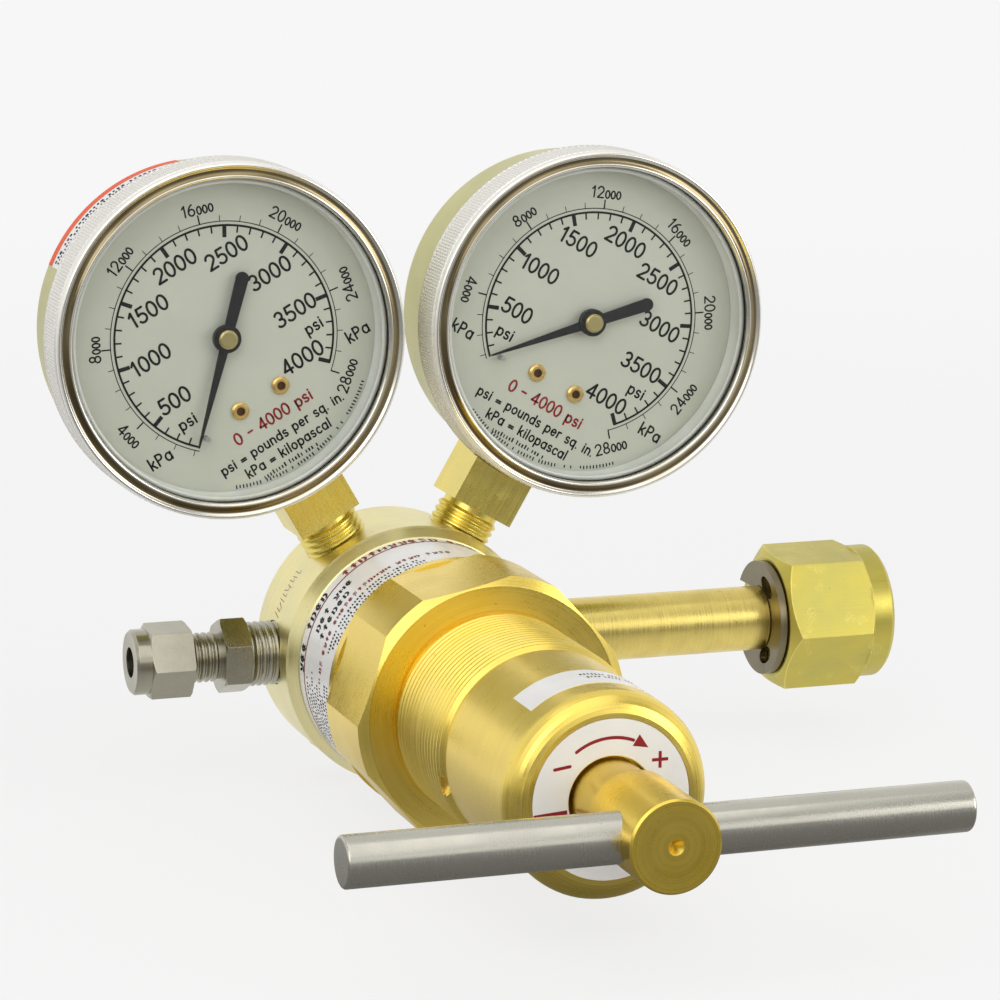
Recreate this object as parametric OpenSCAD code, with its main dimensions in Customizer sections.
// High pressure gas regulator with two dial gauges, a T-bar adjusting screw,
// a cylinder inlet with its coupling nut and a compression tube outlet.
// Row frame: +X points out of the inlet, -Y is the bonnet's front, +Z is up.
// The origin is the middle of the inlet nose's parallel land.

/* [Body] */
// outer radius of the round body
body_r = 28; // [27:0.1:30]
// body length behind the port plane
body_back = 11.5; // [10.5:0.1:13]
// length of the full-size body in front of the port plane
body_front = 12; // [11:0.1:13]
// angle of the gauge ports from straight up
gauge_tilt = 30; // [30:1:34]

/* [Bonnet] */
// how far the labelled cylinder lies inside the body's radius
label_step = 2.16; // [1.6:0.02:2.8]
// distance from the port plane to the wrench section
hex_start = 39; // [38.4:0.1:40.4]
// distance across the wrench flats
hex_flats = 53.14; // [52:0.05:54]
// distance from the port plane to the flat front of the wrench section
face_at = 64.05; // [62:0.1:67]
// major radius of the panel thread
panel_r = 21; // [20.6:0.1:21.8]
// length of the panel thread
panel_len = 27.4; // [22:0.1:28]
// pitch of the panel thread
panel_pitch = 1.65; // [1.2:0.05:2]
// radius of the smooth front cylinder
nose_r = 20.1; // [19.6:0.1:20.5]
// distance from the port plane to the bonnet's front
bonnet_end = 129.5; // [126:0.1:133]
// radius of the spring chamber
chamber_r = 15.5; // [15:0.1:16]

/* [Adjusting screw] */
// radius of the screw's threaded neck
screw_r = 7.7; // [7.4:0.05:7.9]
// radius of the screw's head
head_r = 8.81; // [8.5:0.05:9.4]
// length of the screw's head
head_len = 22.6; // [20:0.1:26]
// distance from the head's front back to the T-bar's axis
bar_back = 9.1; // [8:0.1:10]
// radius of the T-bar
bar_r = 4.8; // [4.4:0.05:5]
// length of the T-bar
bar_len = 120; // [100:0.5:140]
// how far the T-bar's middle stands off the screw's axis
bar_shift = 0.9; // [-3:0.1:3]
// screw travel from backed out to fully in
screw_travel = 8; // [6:0.1:8]

/* [Inlet] */
// outer radius of the inlet nipple's tube
tube_r = 7.1; // [6.9:0.05:7.3]
// distance from the body's axis to the coupling nut's rear face
nut_at = 86.2; // [80:0.2:95]
// distance across the coupling nut's flats
nut_flats = 28.575; // [28:0.05:29]
// length of the coupling nut over its round collar
nut_len = 24.8; // [23:0.1:26]
// radius of the nut's round collar
nut_collar_r = 14.7; // [14.2:0.1:14.9]
// radius of the retaining ring
ring_r = 12.6; // [12:0.1:13]
// radius of the nose's parallel land
nose_land_r = 6; // [5.6:0.05:6.2]

/* [Outlet] */
// distance across the flats of the outlet fitting's two hexagons
fit_flats = 14.29; // [14:0.01:14.6]
// distance from the body's axis to the fitting's hexagon
fit_hex_at = 33.9; // [33:0.1:35]
// distance from the body's axis to the outlet nut's rear end
fit_nut_at = 46.3; // [45.5:0.1:47]
// distance from the body's axis to the outlet nut's front face
fit_end = 58.7; // [58:0.1:60]
// radius of the hole for the outlet tube
out_tube_r = 3.25; // [3.2:0.01:3.35]

/* [Gauges] */
// outer radius of the gauge case
case_r = 34.8; // [34.4:0.1:35.4]
// distance from the body's axis to the underside of a gauge case
stem_len = 45.4; // [45:0.1:47]
// depth of the case behind the stem's axis
case_back = 15; // [14:0.1:17]
// how far the knurled bezel stands out from the case
bezel_wall = 2.4; // [2.3:0.05:2.8]
// distance from the stem's axis forward to the bezel's front
bezel_front = 15.5; // [15.2:0.1:17]
// how far the bezel's lip reaches in over the case's radius
bezel_reach = 1.3; // [1.1:0.05:1.8]
// distance from the stem's axis forward to the dial's front
dial_front = 8.2; // [8:0.1:8.6]
// width of the square socket
socket_w = 14.3; // [14:0.05:14.6]
// distance from the body's axis to the socket's lower shoulder
socket_at = 33.5; // [33:0.1:34.5]

/* [Hidden] */
$fn = 96;

eps = 0.01;
// radius of every pipe-thread port and the matching male threads
port_r = 6.85;
port_depth = 8.5;
port_end = body_r - port_depth;
nose_land = 8;
// coupling nut
nut_end = nut_at + nut_len;
// the nose's land is centred on the origin
nose_mid = nut_end - 7.4;
// the sintered filter sits in a wider bore behind the nose's end
filter_at = nose_mid + nose_land / 2 - 4;
filter_r = 2.9;
nut_hex_end = nut_end - 5.1;
nut_floor = nut_at + 5.2;
nut_thread_r = 11.3;
shoulder_at = nut_floor + 2.8;
// bonnet
bonnet_r = body_r - label_step;
hex_corner_r = body_r + 0.2;
hex_face_r = hex_corner_r - 2;
rim_end = body_front + 2.7;
hex_end = face_at - (hex_corner_r - hex_face_r) * tan(30);
// a round band is left behind the milled flats
band_r = hex_flats / 2 + 0.45;
flat_start = hex_start + 2.5;
panel_start = face_at + 1.2;
panel_end = face_at + panel_len;
nose_start = panel_end + 2.2;
fillet_r = 4.6;
head_start = bonnet_end + screw_travel + 1.8;
head_end = head_start + head_len;
bar_at = head_end - bar_back;
bar_edge = 0.6;
sticker_len = 9.8;
sticker_at = bonnet_end - 8.85 - sticker_len;
// vent hole beside the panel thread's end, with its countersink
vent_r = 1.1;
vent_sink = 0.8;
vent_at = panel_end + 0.5;
vent_angle = 196;
label_r = nose_r - fillet_r;
label_t = 0.25;
screw_boss = bonnet_end - 25.5;
// clearance bore in front of the bonnet's inside thread
relief_len = 3.5;
// inner valve
chamber_hp_r = 5.5;
hp_floor = -8;
nozzle_at = -1;
nozzle_top = 2.5;
lp_r = 12;
guide_at = 4.5;
tail_at = 8;
tail_r = bonnet_r - 2.94;
guide_r = tail_r - 5.5;
piston_r = 6;
piston_top = 16;
button_at = 16.2;
spring_at = 20.1;
upper_at = screw_boss - 13.8;
screw_tip = upper_at + 7.1;
spring_wire = 2.2;
spring_mean = 10.8;
// the buttons' flanges carry the spring's ends, their pilots stand inside it
button_r = spring_mean + spring_wire + 0.2;
pilot_r = spring_mean - spring_wire - 1.2;
pilot_len = 4;
pilot_edge = 0.8;
flange_t = 3;
cone_r = 8;
// outlet fitting
fit_hex_end = fit_hex_at + 5.8;
fit_neck_r = 5.3;
fit_neck_end = 52;
// gauge
dial_at = stem_len + case_r;
bezel_r = case_r + bezel_wall;
window_r = case_r - bezel_reach;
bezel_back = 4.5;
case_wall = 1;
lens_t = 1.2;
lip_t = 1.2;
lens_back = bezel_front - lip_t - lens_t;
gasket_t = 0.6;
dial_t = 0.6;
plate_front = dial_front - dial_t - 0.4;
plate_t = 1.2;
block_front = plate_front - plate_t;
pinion_r = 1.4;
sector_r = 11.15;
sector_drop = sector_r + pinion_r + 0.05;
pointer_at = dial_front + 1.4;
tip_len = 23.4;
tail_len = 12.8;
// distance from the dial's centre down to the top of the socket's block inside the case
block_top = 20.8;
block_half = 6;
// how far the square socket reaches inside the case's radius
socket_in = 3;
// places on the dial, right of and below its centre
screw_x = 5;
screw_y = -15;
pin_x = -14;
pin_y = -15.9;
// Bourdon tube and movement
bourdon_r = 22.6;
bourdon_w = 2.4;
bourdon_h = 8;
bourdon_back = -9;
plate_half = 8;
plate_top = 10;
post_x = 6.4;
rear_plate_at = -2;

// places the body's axis at its distance from the inlet nose
module place() { translate([-nose_mid, 0, 0]) children(); }
// local +Z runs along the bonnet, towards the front
module front() { place() rotate([90, 0, 0]) children(); }
// local +Z runs out of the inlet
module inlet() { place() rotate([0, 90, 0]) children(); }
// local +Z runs out of the outlet
module outlet() { place() rotate([0, -90, 0]) children(); }
// local +Z runs up the stem of a gauge, -Y faces the reader
module gauge(side) { place() rotate([0, side * gauge_tilt, 0]) children(); }
// local origin at the dial's centre, local +Z runs towards the reader
module dial_frame(side) { gauge(side) translate([0, 0, dial_at]) rotate([90, 0, 0]) children(); }

// a plain cylinder from a to b
module rod(r, a, b) { translate([0, 0, a]) cylinder(r = r, h = b - a); }
// a ring between two radii from a to b
module tube(ro, ri, a, b) {
  difference() {
    rod(ro, a, b);
    rod(ri, a - 1, b + 1);
  }
}
// zigzag of thread crests between heights a and b, for a revolved outline
function crests(r, depth, pitch, a, b) =
  let (n = floor((b - a) / pitch), p = (b - a) / n)
  [for (i = [0:n - 1]) for (k = [0:3])
    [k == 0 || k == 3 ? r - depth : r, a + p * (i + [0.06, 0.38, 0.62, 0.94][k])]];
// a solid thread with ring-shaped crests
module thread(r, depth, pitch, a, b) {
  rotate_extrude()
    polygon(concat([[0, a], [r - depth, a]], crests(r, depth, pitch, a, b), [[r - depth, b], [0, b]]));
}
// a hexagonal bar whose ends are turned down by ca and cb at 30 degrees
module hex_bar(flats, a, b, turn, ca, cb) {
  c = flats / 2 / cos(30);
  over = 0.2;
  intersection() {
    translate([0, 0, a]) rotate([0, 0, turn]) cylinder(r = c, h = b - a, $fn = 6);
    rotate_extrude()
      polygon([[0, a], [c - ca, a], [c + over, a + (ca + over) * tan(30)],
        [c + over, b - (cb + over) * tan(30)], [c - cb, b], [0, b]]);
  }
}

// body
module port_hole(angle, high) {
  rotate([0, 0, angle]) rotate([0, 90, 0]) {
    rod(port_r + 0.02, port_end, body_r + 1);
    rod(port_r - 0.6, port_end - 1.5, port_end + eps);
  }
  rotate([0, 0, angle]) translate([0, 0, high ? -3.5 : 3.5]) rotate([0, 90, 0])
    rod(high ? 2 : 0.95, high ? chamber_hp_r - 1 : lp_r - 1, port_end);
}
module body() {
  color([0.80, 0.70, 0.40]) front() difference() {
    rotate_extrude()
      polygon([[0, -body_back], [body_r - 1, -body_back], [body_r, -body_back + 1],
        [body_r, body_front - 0.6],
        [body_r - 0.4, body_front], [bonnet_r + 0.4, rim_end - 0.2], [bonnet_r, rim_end], [0, rim_end]]);
    rod(tail_r + 0.02, tail_at, rim_end + 1);
    rod(guide_r + 0.02, guide_at, tail_at + eps);
    rod(lp_r, nozzle_top - eps, guide_at + eps);
    rod(7, nozzle_at, nozzle_top);
    rod(chamber_hp_r, hp_floor, nozzle_at + eps);
    port_hole(0, true);
    port_hole(90 - gauge_tilt, true);
    port_hole(90 + gauge_tilt, false);
    port_hole(180, false);
    port_hole(240, false);
    port_hole(300, true);
  }
}
module pipe_plug(angle) {
  color([0.74, 0.64, 0.36]) front() rotate([0, 0, angle]) rotate([0, 90, 0]) difference() {
    thread(port_r, 0.5, 1.41, port_end + 0.2, body_r - 0.6);
    translate([0, 0, body_r - 5.6]) cylinder(r = 3.2, h = 6, $fn = 6);
  }
}
module port_plug_a() { pipe_plug(240); }
module port_plug_b() { pipe_plug(300); }

// bonnet
module bonnet() {
  c = hex_corner_r;
  color([0.82, 0.71, 0.38]) front() difference() {
    union() {
      rod(tail_r, tail_at, rim_end + eps);
      rod(bonnet_r, rim_end, hex_start + eps);
      rod(band_r, hex_start, flat_start + eps);
      intersection() {
        translate([0, 0, flat_start]) rotate([0, 0, 11.9])
          cylinder(r = hex_flats / 2 / cos(30), h = face_at - flat_start, $fn = 6);
        rotate_extrude() polygon([[0, flat_start], [c, flat_start], [c, hex_end], [hex_face_r, face_at],
          [0, face_at]]);
      }
      rotate_extrude()
        polygon(concat([[0, face_at - eps], [panel_r - 0.8, face_at - eps], [panel_r - 0.8, panel_start]],
          crests(panel_r, 0.5, panel_pitch, panel_start, panel_end - 0.4),
          [[panel_r - 0.3, panel_end - 0.4], [panel_r - 0.3, panel_end], [nose_r - 0.3, panel_end + 0.9],
          [nose_r - 0.3, nose_start - 0.4], [nose_r, nose_start]],
          [for (i = [0:8]) let (a = i * 90 / 8)
            [label_r + fillet_r * cos(a), bonnet_end - fillet_r + fillet_r * sin(a)]],
          [[0, bonnet_end]]));
    }
    rod(chamber_r, tail_at - 1, screw_boss);
    translate([0, 0, screw_boss - eps]) cylinder(r1 = chamber_r, r2 = screw_r + 0.08, h = 4);
    rod(screw_r + 0.08, screw_boss, bonnet_end + 1);
    rod(screw_r + 0.55, bonnet_end - relief_len, bonnet_end + 1);
    rod(label_r, bonnet_end - label_t, bonnet_end + 1);
    rotate([0, 0, vent_angle]) translate([0, 0, vent_at]) rotate([0, 90, 0]) {
      rod(vent_r, chamber_r - 1, panel_r + 2);
      translate([0, 0, nose_r - vent_sink])
        cylinder(r1 = vent_r, r2 = vent_r + 2 * vent_sink, h = 2 * vent_sink);
    }
  }
}
module body_label() {
  color([0.90, 0.91, 0.92]) front() tube(bonnet_r + 0.15, bonnet_r, rim_end + 0.2, hex_start - 0.2);
}
module front_label() {
  color([0.92, 0.92, 0.90]) front()
    tube(label_r - 0.1, screw_r + 0.75, bonnet_end - label_t, bonnet_end - 0.03);
}
module bonnet_sticker() {
  color([0.93, 0.94, 0.94]) front() translate([0, 0, sticker_at]) rotate([0, 0, 42])
    rotate_extrude(angle = 87) translate([nose_r, 0]) square([0.1, sticker_len]);
}

// adjusting screw and spring
module adjusting_screw() {
  color([0.80, 0.68, 0.34]) front() difference() {
    rotate_extrude()
      polygon(concat([[0, screw_tip], [4, screw_tip], [screw_r - 1, screw_tip + 1.5],
        [screw_r - 0.6, screw_tip + 2]],
        crests(screw_r, 0.6, 1.6, screw_tip + 2, bonnet_end - relief_len - 0.5),
        [[screw_r, bonnet_end - relief_len - 0.1], [screw_r, head_start], [head_r, head_start + 2],
        [head_r, head_end - 0.4], [head_r - 0.4, head_end], [0, head_end]]));
    translate([0, 0, head_end - 1.7]) cylinder(r1 = 0.2, r2 = 1.5, h = 1.71);
    translate([0, 0, bar_at]) rotate([0, 90, 0]) rod(bar_r, -20, 20);
  }
}
// a quarter circle of radius bar_edge at one end of the T-bar, end is 1 or -1
function bar_corner(end) =
  [for (i = [0:4]) let (a = i * 90 / 4)
    [bar_r - bar_edge + bar_edge * sin(a), end * (bar_len / 2 - bar_edge + bar_edge * cos(a))]];
module t_bar() {
  color([0.70, 0.69, 0.66]) front() translate([bar_shift, 0, bar_at]) rotate([0, 90, 0]) rotate_extrude()
    polygon(concat([[0, -bar_len / 2]], bar_corner(-1),
      [for (i = [4:-1:0]) bar_corner(1)[i]], [[0, bar_len / 2]]));
}
module upper_button() {
  color([0.62, 0.62, 0.63]) front() rotate_extrude()
    polygon([[0, upper_at - pilot_len], [pilot_r - pilot_edge, upper_at - pilot_len],
      [pilot_r, upper_at - pilot_len + 1], [pilot_r, upper_at], [button_r, upper_at],
      [button_r, upper_at + flange_t], [cone_r, screw_tip - 0.2], [0, screw_tip - 0.2]]);
}
module lower_button() {
  color([0.62, 0.62, 0.63]) front() rotate_extrude()
    polygon([[0, button_at], [cone_r, button_at], [button_r, spring_at - 2],
      [button_r, spring_at - 0.1], [pilot_r, spring_at - 0.1], [pilot_r, spring_at + pilot_len - 1],
      [pilot_r - pilot_edge, spring_at + pilot_len], [0, spring_at + pilot_len]]);
}
module range_spring() {
  color([0.55, 0.56, 0.58]) front()
    helix_spring(spring_mean, spring_wire, spring_at, upper_at - 0.1, 9.5);
}
// a wire of six-sided section swept along a helix from a to b
module helix_spring(mean, wire, a, b, turns) {
  steps = 20;
  sides = 6;
  n = round(turns * steps);
  lo = a + wire;
  hi = b - wire;
  pts = [for (i = [0:n]) for (k = [0:sides - 1])
    let (w = i * 360 / steps, q = k * 360 / sides, r = mean + wire * cos(q),
      z = lo + (hi - lo) * i / n + wire * sin(q))
    [r * cos(w), r * sin(w), z]];
  walls = [for (i = [0:n - 1]) for (k = [0:sides - 1])
    let (p = i * sides + k, s = i * sides + (k + 1) % sides) [p, s, s + sides, p + sides]];
  polyhedron(points = pts, faces = concat(walls, [[for (k = [sides - 1:-1:0]) k]],
    [[for (k = [0:sides - 1]) n * sides + k]]), convexity = 8);
}

// inner valve
module piston() {
  color([0.66, 0.66, 0.67]) front() rotate_extrude()
    polygon([[0, guide_at + 0.2], [piston_r - 0.4, guide_at + 0.2], [piston_r, guide_at + 0.6],
      [piston_r, tail_at + 1.4],
      [9, tail_at + 1.4], [9, tail_at + 4], [piston_r, tail_at + 4.6], [piston_r, piston_top],
      [0, piston_top]]);
}
module piston_guide() {
  color([0.72, 0.62, 0.36]) front() difference() {
    rod(guide_r, guide_at, tail_at - 0.05);
    rod(piston_r + 0.05, guide_at - 1, tail_at + 1);
    rod(8, guide_at + 1, tail_at - 1.2);
  }
}
module piston_seal() {
  color([0.10, 0.10, 0.10]) front() translate([0, 0, (guide_at + tail_at - 0.2) / 2])
    rotate_extrude() translate([7.05, 0]) circle(r = 0.62, $fn = 32);
}
module nozzle() {
  color([0.76, 0.66, 0.38]) front() difference() {
    rod(6.98, nozzle_at, nozzle_top);
    rod(1.6, nozzle_at - 1, nozzle_top + 1);
  }
}
module valve_stem() {
  color([0.62, 0.62, 0.63]) front() rotate_extrude()
    polygon([[0, -5.4], [1.2, -5.4], [1.2, -4.4], [3.4, -4.4], [3.4, -2.2], [2.3, nozzle_at - 0.1],
      [1, nozzle_at - 0.1],
      [1, guide_at + 0.15], [0, guide_at + 0.15]]);
}
module valve_spring() {
  color([0.55, 0.56, 0.58]) front() helix_spring(2.4, 0.35, hp_floor, -4.45, 3.5);
}

// inlet
module inlet_nipple() {
  l = nose_land / 2;
  color([0.78, 0.67, 0.36]) inlet() difference() {
    rotate_extrude()
      polygon(concat([[0, port_end + 0.2], [port_r - 1, port_end + 0.2]],
        crests(port_r, 0.5, 1.41, port_end + 0.7, body_r + 1.5),
        [[tube_r, body_r + 2], [tube_r, nut_at - 2.1], [tube_r - 0.7, nut_at - 2.1],
        [tube_r - 0.7, nut_at - 0.1],
        [tube_r, nut_at - 0.1], [tube_r, shoulder_at], [9.2, shoulder_at], [9.2, shoulder_at + 2.4],
        [nose_land_r, nose_mid - l], [nose_land_r, nose_mid + l]],
        [for (i = [1:6]) let (a = i * 90 / 6)
          [3.2 + (nose_land_r - 3.2) * cos(a), nose_mid + l + 2.2 * sin(a)]],
        [[0, nose_mid + l + 2.2]]));
    rod(2.4, port_end - 1, filter_at + eps);
    rod(filter_r, filter_at, nose_mid + l + 5);
  }
}
module inlet_filter() {
  color([0.62, 0.52, 0.30]) inlet() rod(filter_r, filter_at, nose_mid + nose_land / 2 + 1.2);
}
module nut_ring() {
  color([0.33, 0.29, 0.24]) inlet() translate([0, 0, nut_at - 1.9]) rotate([0, 0, 90]) difference() {
    cylinder(r = ring_r, h = 1.6);
    translate([0, 0, -1]) cylinder(r = tube_r - 0.68, h = 4);
    translate([0, -(tube_r - 0.9), -1]) cube([20, 2 * (tube_r - 0.9), 4]);
    for (s = [-1, 1]) rotate([0, 0, s * 118]) translate([8.6, 0, -1]) scale([0.75, 1.35, 1])
      cylinder(r = 2.4, h = 4);
  }
}
module inlet_nut() {
  color([0.80, 0.69, 0.37]) inlet() difference() {
    union() {
      hex_bar(nut_flats, nut_at, nut_hex_end, 35, 3.1, 1.8);
      rotate_extrude()
        polygon([[0, nut_hex_end - eps], [nut_collar_r, nut_hex_end - eps], [nut_collar_r, nut_end - 0.8],
          [nut_collar_r - 0.8, nut_end], [0, nut_end]]);
    }
    rod(tube_r + 0.08, nut_at - 1, nut_floor + 1);
    rotate_extrude()
      polygon(concat([[0, nut_floor], [nut_thread_r + 0.3, nut_floor],
        [nut_thread_r + 0.3, nut_floor + 3]],
        crests(nut_thread_r + 0.6, 0.6, 1.81, nut_floor + 3, nut_end - 1.2),
        [[nut_thread_r, nut_end - 1.1], [nut_thread_r + 1.2, nut_end + 0.1], [0, nut_end + 0.1]]));
  }
}
module nut_washer() {
  color([0.86, 0.84, 0.78]) inlet() tube(9.6, tube_r + 0.06, nut_floor + 0.05, nut_floor + 0.85);
}

// outlet
module outlet_body() {
  color([0.66, 0.66, 0.65]) outlet() difference() {
    union() {
      rotate_extrude()
        polygon(concat([[0, port_end + 0.2], [port_r - 1, port_end + 0.2]],
          crests(port_r, 0.5, 1.41, port_end + 0.7, fit_hex_at - 0.6),
          [[port_r - 0.6, fit_hex_at - 0.6], [port_r - 0.6, fit_hex_at + eps], [0, fit_hex_at + eps]]));
      hex_bar(fit_flats, fit_hex_at, fit_hex_end, 55, 0.7, 0.7);
      rotate_extrude()
        polygon(concat([[0, fit_hex_end - eps], [fit_neck_r - 0.5, fit_hex_end - eps]],
          crests(fit_neck_r, 0.5, 1.27, fit_hex_end + 0.8, fit_neck_end - 0.4),
          [[fit_neck_r - 0.6, fit_neck_end], [0, fit_neck_end]]));
    }
    rod(2.2, port_end - 1, fit_neck_end - 8);
    rod(out_tube_r, fit_neck_end - 8.5, fit_neck_end + 1);
    translate([0, 0, fit_neck_end - 1.8]) cylinder(r1 = out_tube_r, r2 = out_tube_r + 1.2, h = 1.81);
  }
}
module front_ferrule() {
  color([0.72, 0.72, 0.71]) outlet() rotate_extrude()
    polygon([[out_tube_r, fit_neck_end - 1.2], [out_tube_r + 0.25, fit_neck_end - 1.2],
      [out_tube_r + 1.2, fit_neck_end + 0.35],
      [out_tube_r + 1.2, fit_neck_end + 1.4], [out_tube_r, fit_neck_end + 1.1]]);
}
module back_ferrule() {
  color([0.72, 0.72, 0.71]) outlet() rotate_extrude()
    polygon([[out_tube_r, fit_neck_end + 1.15], [out_tube_r + 1.2, fit_neck_end + 1.45],
      [out_tube_r + 1.2, fit_neck_end + 2.3],
      [out_tube_r, fit_neck_end + 2.3]]);
}
module outlet_nut() {
  color([0.68, 0.68, 0.67]) outlet() difference() {
    union() {
      hex_bar(fit_flats, fit_nut_at, fit_end - 3.3, 25, 0.5, 0.9);
      rotate_extrude()
        polygon([[0, fit_end - 3.4], [6.94, fit_end - 3.4], [6.94, fit_end - 0.6], [6.4, fit_end],
          [0, fit_end]]);
    }
    rod(fit_neck_r + 0.06, fit_nut_at - 1, fit_neck_end + 2.4);
    rod(out_tube_r, fit_neck_end + 2, fit_end + 1);
  }
}

// gauges
module g_socket(side) {
  h = socket_w / 2;
  color([0.80, 0.70, 0.34]) gauge(side) difference() {
    union() {
      rotate_extrude()
        polygon(concat([[0, port_end + 0.2], [port_r - 1, port_end + 0.2]],
          crests(port_r, 0.5, 1.41, port_end + 0.7, socket_at - 1.2),
          [[port_r - 0.7, socket_at - 1.2], [port_r - 0.7, socket_at + eps], [0, socket_at + eps]]));
      translate([-h, -h, socket_at]) cube([socket_w, socket_w, dial_at - case_r + socket_in - socket_at]);
      translate([-block_half, -block_front, dial_at - case_r + socket_in - 1])
        cube([2 * block_half, block_front + block_half, case_r - socket_in + 1 - block_top]);
    }
    rod(1.6, port_end - 1, dial_at - case_r + 8);
    translate([0, 0, dial_at]) rotate([90, 0, 0])
      tube(bezel_r + 0.05, case_r, bezel_back - 0.05, socket_w);
  }
}
module g_case(side) {
  h = socket_w / 2 + 0.05;
  color([0.68, 0.64, 0.46]) difference() {
    dial_frame(side) rotate_extrude()
      polygon([[0, -case_back], [case_r - 3, -case_back], [case_r - 1.5, -case_back + 0.4],
        [case_r - 0.4, -case_back + 1.5],
        [case_r, -case_back + 3], [case_r, lens_back - gasket_t],
        [case_r - case_wall, lens_back - gasket_t],
        [case_r - case_wall, -case_back + 3], [case_r - 3, -case_back + case_wall],
        [0, -case_back + case_wall]]);
    gauge(side) translate([-h, -h, dial_at - case_r - 4]) cube([2 * h, 2 * h, 10]);
  }
}
module g_bezel(side) {
  f = bezel_front;
  color([0.80, 0.80, 0.80]) dial_frame(side) rotate_extrude()
    polygon([[case_r + 0.02, bezel_back], [bezel_r - 0.4, bezel_back], [bezel_r, bezel_back + 0.4],
      [bezel_r, f - 1.6], [bezel_r - 0.5, f - 1.1],
      [bezel_r - 1, f - 1], [bezel_r - 1.5, f - 0.3], [bezel_r - 2.3, f], [window_r + 0.6, f - 0.25],
      [window_r, f - 0.9],
      [window_r, f - lip_t], [case_r + 0.02, f - lip_t]]);
}
module g_lens(side) {
  color([0.85, 0.88, 0.88, 0.3]) dial_frame(side) rod(case_r, lens_back, lens_back + lens_t);
}
module g_gasket(side) {
  color([0.08, 0.08, 0.08]) dial_frame(side)
    tube(case_r, case_r - case_wall, lens_back - gasket_t, lens_back);
}
module g_dial(side) {
  color([0.80, 0.82, 0.78]) dial_frame(side) difference() {
    rod(case_r - case_wall - 0.1, dial_front - dial_t, dial_front);
    rod(2.2, 0, 20);
    for (s = [-1, 1]) translate([s * screw_x, screw_y, 0]) rod(1.05, 0, 20);
    translate([pin_x, pin_y, 0]) rod(0.55, 0, 20);
  }
}
module g_dial_screws(side) {
  color([0.76, 0.64, 0.32]) dial_frame(side)
    for (s = [-1, 1]) translate([s * screw_x, screw_y, 0]) difference() {
    union() {
      rod(1.0, block_front + 0.1, dial_front + 0.1);
      rotate_extrude() polygon([[0, dial_front], [1.85, dial_front], [1.85, dial_front + 0.45],
        [1.4, dial_front + 0.8], [0, dial_front + 0.8]]);
    }
    rod(0.85, dial_front + 0.3, dial_front + 2);
  }
}
module g_stop_pin(side) {
  color([0.62, 0.62, 0.60]) dial_frame(side) translate([pin_x, pin_y, 0])
    rod(0.5, dial_front - dial_t, pointer_at + 0.9);
}
// the pointer is drawn along local +X, then turned to the zero mark
module g_pointer(side) {
  color([0.06, 0.06, 0.06]) dial_frame(side) rotate([0, 0, 225]) difference() {
    union() {
      translate([0, 0, pointer_at]) linear_extrude(height = 0.5)
        polygon([[-tail_len, -1.35], [0, -1.05], [tip_len, -0.16], [tip_len, 0.16], [0, 1.05],
          [-tail_len, 1.35]]);
      translate([-tail_len, 0, 0]) rod(1.4, pointer_at, pointer_at + 0.5);
      rod(2.9, pointer_at - 0.4, pointer_at + 1);
    }
    rod(0.6, 0, 20);
  }
}
module g_hub(side) {
  color([0.74, 0.62, 0.34]) dial_frame(side) rotate_extrude()
    polygon([[0, pointer_at + 1], [2, pointer_at + 1], [2, pointer_at + 1.7], [1.6, pointer_at + 2.05],
      [0, pointer_at + 2.05]]);
}
module g_bourdon(side) {
  color([0.72, 0.58, 0.32]) dial_frame(side) rotate([0, 0, -73])
    rotate_extrude(angle = 253) translate([bourdon_r, bourdon_back]) square([bourdon_w, bourdon_h]);
  color([0.72, 0.58, 0.32]) dial_frame(side)
    translate([block_half, -bourdon_r - 4.9, bourdon_back - 0.3]) cube([4, 6.3, bourdon_h + 0.6]);
}
module g_movement(side) {
  color([0.74, 0.64, 0.38]) dial_frame(side) difference() {
    union() {
      translate([-plate_half, socket_in + 0.05 - case_r, block_front])
        cube([2 * plate_half, case_r - socket_in - 0.05 + plate_top, plate_t]);
      translate([-plate_half, -17, rear_plate_at]) cube([2 * plate_half, 17 + plate_top, plate_t]);
      for (s = [-1, 1]) translate([s * post_x, plate_top - 2.4, 0])
        rod(1.2, rear_plate_at + plate_t - 0.1, block_front + eps);
      translate([0, -sector_drop, 0]) rod(0.75, rear_plate_at + plate_t - 0.1, block_front + eps);
    }
    rod(0.65, -5, 20);
    for (s = [-1, 1]) translate([s * screw_x, screw_y, 0]) rod(1.05, block_front - 1, 20);
    translate([pin_x, pin_y, 0]) rod(0.55, 0, 20);
  }
}
module g_sector(side) {
  color([0.78, 0.68, 0.40]) dial_frame(side) translate([0, -sector_drop, 0]) difference() {
    union() {
      rod(2.1, 1.2, 3.8);
      translate([0, 0, 2]) rotate([0, 0, 52]) rotate_extrude(angle = 44) square([sector_r, 1.2]);
    }
    rod(0.8, -5, 20);
  }
}
module g_pinion(side) {
  color([0.60, 0.60, 0.61]) dial_frame(side) {
    rod(pinion_r, 1, 4);
    rod(0.6, -2, pointer_at + 1);
  }
}
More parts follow.
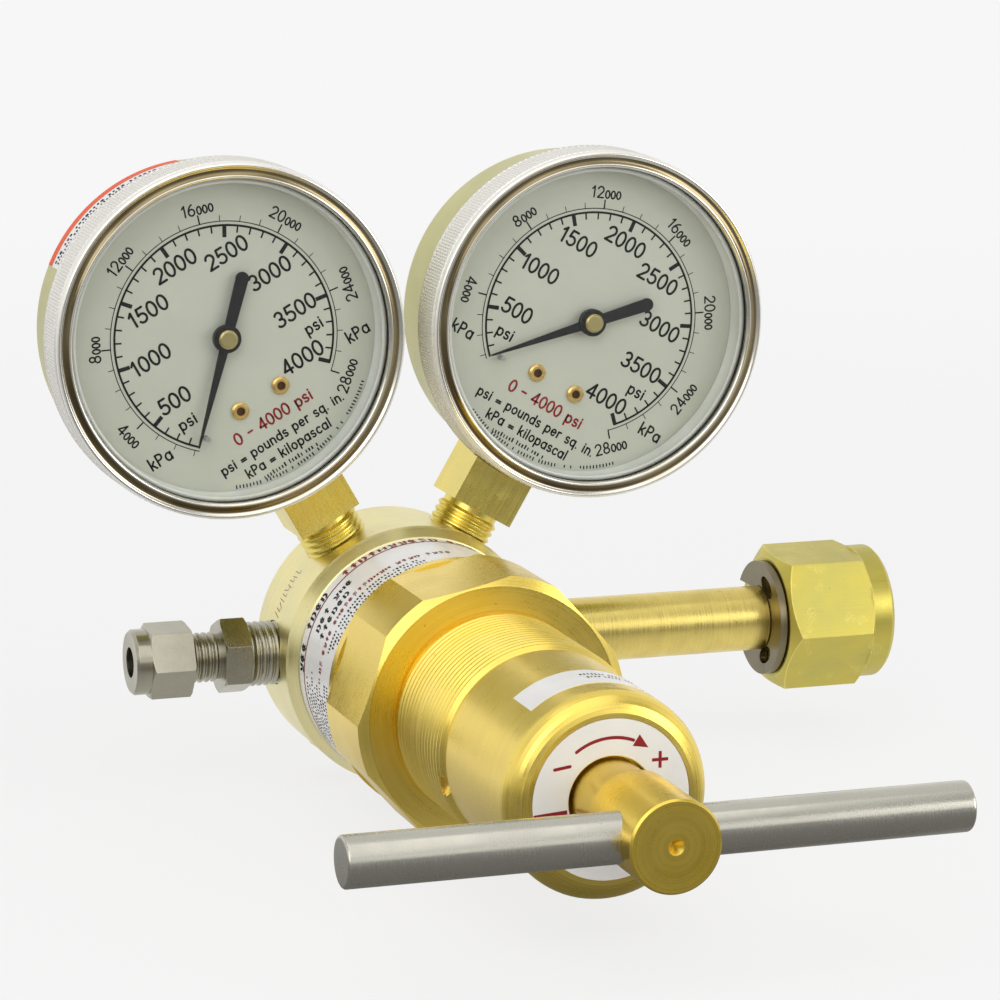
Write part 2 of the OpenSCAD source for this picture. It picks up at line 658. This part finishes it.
module left_socket() { g_socket(-1); }
module left_case() { g_case(-1); }
module left_bezel() { g_bezel(-1); }
module left_lens() { g_lens(-1); }
module left_gasket() { g_gasket(-1); }
module left_dial() { g_dial(-1); }
module left_dial_screws() { g_dial_screws(-1); }
module left_stop_pin() { g_stop_pin(-1); }
module left_pointer() { g_pointer(-1); }
module left_hub() { g_hub(-1); }
module left_bourdon() { g_bourdon(-1); }
module left_movement() { g_movement(-1); }
module left_sector() { g_sector(-1); }
module left_pinion() { g_pinion(-1); }
module left_sticker() {
  color([0.90, 0.50, 0.30]) dial_frame(-1) translate([0, 0, -case_back + 3.2]) rotate([0, 0, 68])
    rotate_extrude(angle = 59) translate([case_r, 0]) square([0.12, bezel_back + case_back - 4]);
}
module right_socket() { g_socket(1); }
module right_case() { g_case(1); }
module right_bezel() { g_bezel(1); }
module right_lens() { g_lens(1); }
module right_gasket() { g_gasket(1); }
module right_dial() { g_dial(1); }
module right_dial_screws() { g_dial_screws(1); }
module right_stop_pin() { g_stop_pin(1); }
module right_pointer() { g_pointer(1); }
module right_hub() { g_hub(1); }
module right_bourdon() { g_bourdon(1); }
module right_movement() { g_movement(1); }
module right_sector() { g_sector(1); }
module right_pinion() { g_pinion(1); }

body();
bonnet();
body_label();
front_label();
bonnet_sticker();
adjusting_screw();
t_bar();
upper_button();
range_spring();
lower_button();
piston();
piston_seal();
piston_guide();
nozzle();
valve_stem();
valve_spring();
port_plug_a();
port_plug_b();
inlet_nipple();
inlet_filter();
inlet_nut();
nut_washer();
nut_ring();
outlet_body();
outlet_nut();
front_ferrule();
back_ferrule();
left_socket();
left_case();
left_bezel();
left_lens();
left_gasket();
left_dial();
left_dial_screws();
left_stop_pin();
left_pointer();
left_hub();
left_bourdon();
left_movement();
left_sector();
left_pinion();
left_sticker();
right_socket();
right_case();
right_bezel();
right_lens();
right_gasket();
right_dial();
right_dial_screws();
right_stop_pin();
right_pointer();
right_hub();
right_bourdon();
right_movement();
right_sector();
right_pinion();
